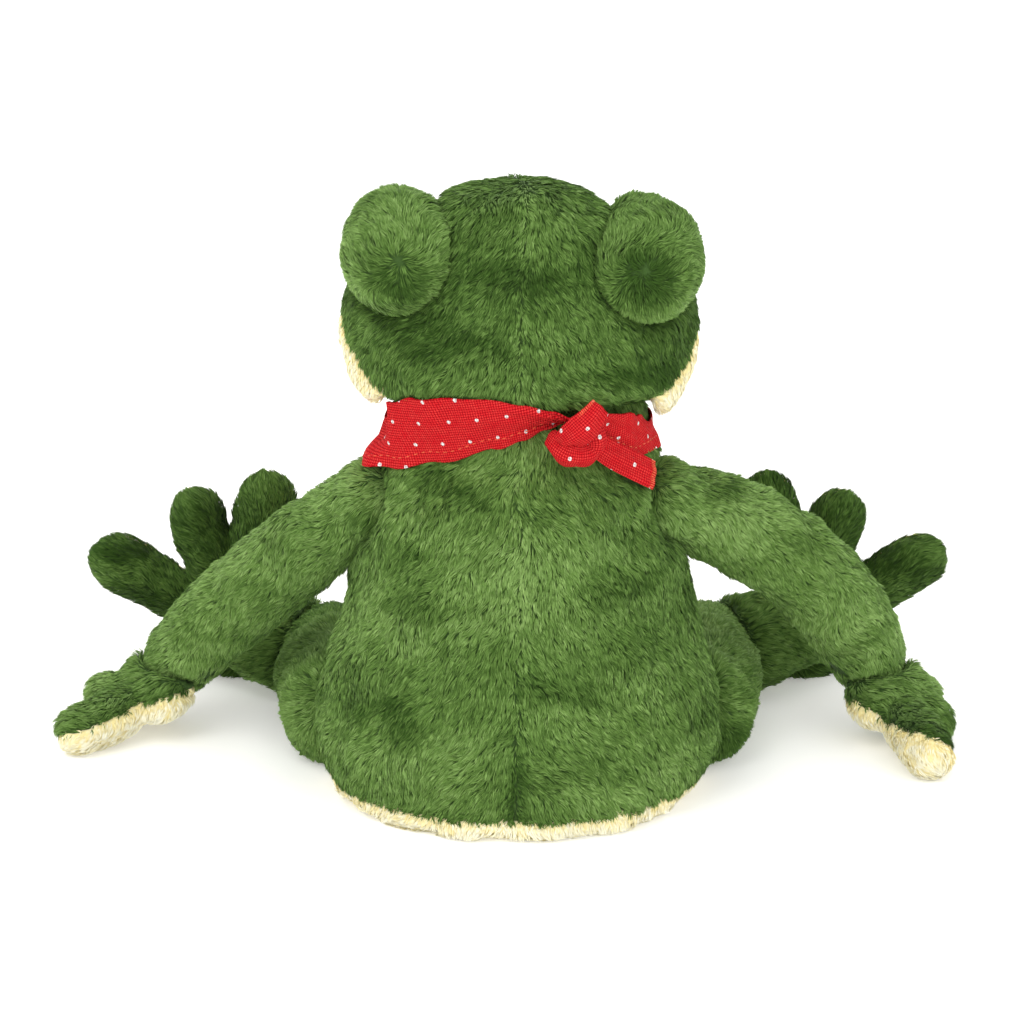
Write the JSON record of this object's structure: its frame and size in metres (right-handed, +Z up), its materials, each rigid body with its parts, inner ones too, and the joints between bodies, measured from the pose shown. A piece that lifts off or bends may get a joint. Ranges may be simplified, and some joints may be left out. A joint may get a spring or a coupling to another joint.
{
  "type": "plush frog",
  "caption": "Seated plush frog with floppy arms and legs, bulging eye domes, a pale belly and a dotted red cloth kerchief tied at the nape.",
  "frame": {"origin": "on the seat's flat underside, in the middle plane of the trunk", "axes": "+Z up, the face looks along -Y, the frog's left side is at +X"},
  "size_m": [0.3323, 0.181, 0.2298],
  "materials": {
    "green_plush": "short pile, mottled green",
    "cream_plush": "short pile, cream",
    "red_cotton": "plain weave with small white dots",
    "fibre_filling": "white polyester fibre",
    "pouch_cotton": "unbleached cotton, filled with pellets",
    "eye_plastic": "glossy",
    "washer_plastic": "matte"
  },
  "bodies": {
    "trunk": {"body_filling": "fibre_filling", "body_cover_left": "green_plush", "body_cover_right": "green_plush", "belly_panel": "cream_plush", "pellet_pouch": "pouch_cotton", "kerchief": "red_cotton", "kerchief_knot": "red_cotton", "kerchief_tail_upper": "red_cotton", "kerchief_tail_lower": "red_cotton"},
    "head": {"head_filling": "fibre_filling", "head_cover_left": "green_plush", "head_cover_right": "green_plush", "jaw_panel": "cream_plush", "left_eye_dome": "green_plush", "left_eye": "eye_plastic", "left_eye_washer": "washer_plastic", "right_eye_dome": "green_plush", "right_eye": "eye_plastic", "right_eye_washer": "washer_plastic"},
    "left_arm": {"left_arm": "green_plush"},
    "left_hand": {"left_hand_back": "green_plush", "left_palm": "cream_plush"},
    "left_thigh": {"left_thigh": "green_plush"},
    "left_shin": {"left_shin": "green_plush"},
    "left_foot": {"left_foot_back": "green_plush", "left_sole": "cream_plush"},
    "right_arm": {"right_arm": "green_plush"},
    "right_hand": {"right_hand_back": "green_plush", "right_palm": "cream_plush"},
    "right_thigh": {"right_thigh": "green_plush"},
    "right_shin": {"right_shin": "green_plush"},
    "right_foot": {"right_foot_back": "green_plush", "right_sole": "cream_plush"}
  },
  "joints": [
    {"name": "head_turn", "type": "hinge", "parent": "trunk", "child": "head", "pos_m": [0, 0, 0.158], "axis": [0, 0, 1], "range_deg": [-15, 15]},
    {"name": "left_shoulder", "type": "hinge", "parent": "trunk", "child": "left_arm", "pos_m": [0.0518, 0.004, 0.11139], "axis": [0, -1, 0], "range_deg": [0, 70]},
    {"name": "left_wrist", "type": "hinge", "parent": "left_arm", "child": "left_hand", "pos_m": [0.1268, -0.0535, 0.02689], "axis": [0, -1, 0], "range_deg": [0, 40]},
    {"name": "left_hip", "type": "hinge", "parent": "trunk", "child": "left_thigh", "pos_m": [0.0666, -0.022, 0.02], "axis": [0, 0, -1], "range_deg": [0, 15]},
    {"name": "left_knee", "type": "hinge", "parent": "left_thigh", "child": "left_shin", "pos_m": [0.0706, -0.084, 0.018], "axis": [0, 0, -1], "range_deg": [0, 30]},
    {"name": "left_ankle", "type": "hinge", "parent": "left_shin", "child": "left_foot", "pos_m": [0.1096, -0.099, 0.021], "axis": [1, 0, 0], "range_deg": [0, 45]},
    {"name": "right_shoulder", "type": "hinge", "parent": "trunk", "child": "right_arm", "pos_m": [-0.0518, 0.004, 0.11139], "axis": [0, 1, 0], "range_deg": [0, 70]},
    {"name": "right_wrist", "type": "hinge", "parent": "right_arm", "child": "right_hand", "pos_m": [-0.1318, -0.05, 0.02789], "axis": [0, 1, 0], "range_deg": [0, 40]},
    {"name": "right_hip", "type": "hinge", "parent": "trunk", "child": "right_thigh", "pos_m": [-0.0666, -0.022, 0.02], "axis": [0, 0, 1], "range_deg": [0, 15]},
    {"name": "right_knee", "type": "hinge", "parent": "right_thigh", "child": "right_shin", "pos_m": [-0.0706, -0.084, 0.018], "axis": [0, 0, 1], "range_deg": [0, 30]},
    {"name": "right_ankle", "type": "hinge", "parent": "right_shin", "child": "right_foot", "pos_m": [-0.1096, -0.099, 0.021], "axis": [1, 0, 0], "range_deg": [0, 45]}
  ]
}
